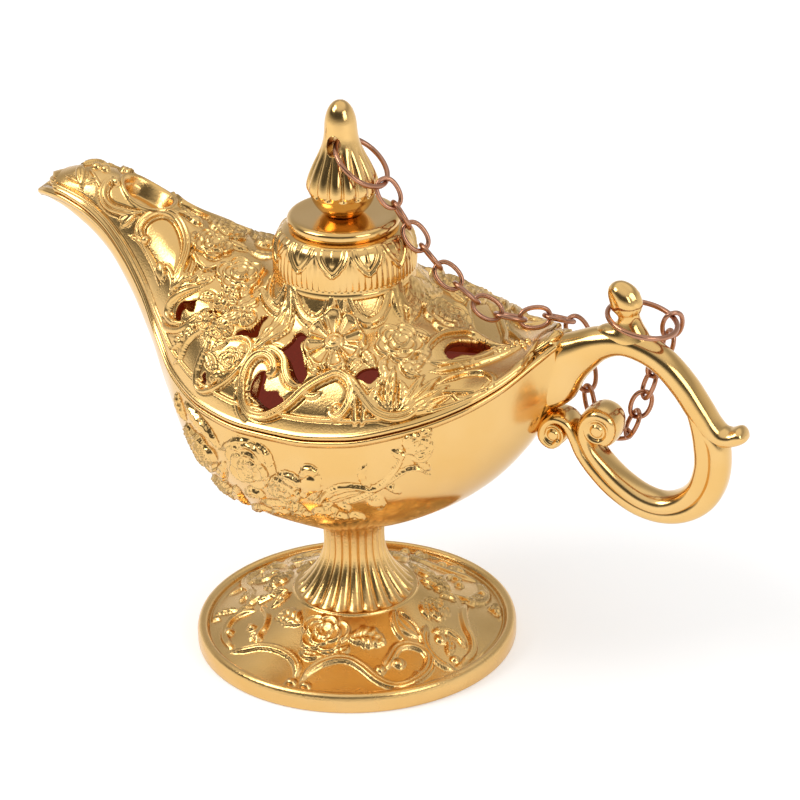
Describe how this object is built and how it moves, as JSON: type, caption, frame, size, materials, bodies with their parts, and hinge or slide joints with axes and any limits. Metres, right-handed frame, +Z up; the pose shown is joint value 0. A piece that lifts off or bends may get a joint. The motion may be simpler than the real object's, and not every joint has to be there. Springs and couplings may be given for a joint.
{
  "type": "genie oil lamp",
  "caption": "Oil lamp with a fluted pedestal foot, boat-shaped bowl with a swan-neck spout, pierced lift-off lid with a domed finial, ring handle, and a fine chain to the handle.",
  "frame": {"origin": "centre of the foot's flat ring, on the surface it stands on", "axes": "+Z up; -X towards the spout, +X towards the handle; Y across, with the lamp symmetric about the XZ plane apart from the chain"},
  "size_m": [0.143, 0.063, 0.1129],
  "materials": {
    "gold_plate": "polished gold-coloured plate on cast metal",
    "copper_plate": "bright copper-coloured plate",
    "zinc_plate": "dull zinc plate",
    "velvet": "dark red flock"
  },
  "bodies": {
    "base": {"foot": "gold_plate", "bowl": "gold_plate", "handle": "gold_plate", "velvet_lining": "velvet", "foot_screw": "zinc_plate", "foot_washer": "zinc_plate"},
    "lid": {"lid": "gold_plate", "dome_cap": "gold_plate", "cap_disc": "gold_plate", "finial": "gold_plate", "finial_stud": "zinc_plate", "finial_nut": "zinc_plate", "finial_washer": "zinc_plate", "finial_ring": "copper_plate", "chain_link_01": "copper_plate", "chain_link_02": "copper_plate", "chain_link_03": "copper_plate", "chain_link_04": "copper_plate", "chain_link_05": "copper_plate", "chain_link_06": "copper_plate", "chain_link_07": "copper_plate", "chain_link_08": "copper_plate", "chain_link_09": "copper_plate", "chain_link_10": "copper_plate", "chain_link_11": "copper_plate", "chain_link_12": "copper_plate", "chain_link_13": "copper_plate", "chain_link_14": "copper_plate", "chain_link_15": "copper_plate", "chain_link_16": "copper_plate", "chain_link_17": "copper_plate", "chain_link_18": "copper_plate", "chain_link_19": "copper_plate", "chain_link_20": "copper_plate", "chain_link_21": "copper_plate", "chain_link_22": "copper_plate"},
    "hook_ring": {"hook_ring": "copper_plate"}
  },
  "joints": [
    {"name": "lid_lift", "type": "slide", "parent": "base", "child": "lid", "axis": [0, 0, 1], "range_m": [0, 0.006]},
    {"name": "hook_ring_tilt", "type": "hinge", "parent": "base", "child": "hook_ring", "pos_m": [0.05332, 0, 0.07956], "axis": [0, -1, 0], "range_deg": [0, 32]}
  ],
  "couplings": [
    {"joint": "hook_ring_tilt", "follows": "lid_lift", "rad_per_m": 92.5}
  ]
}
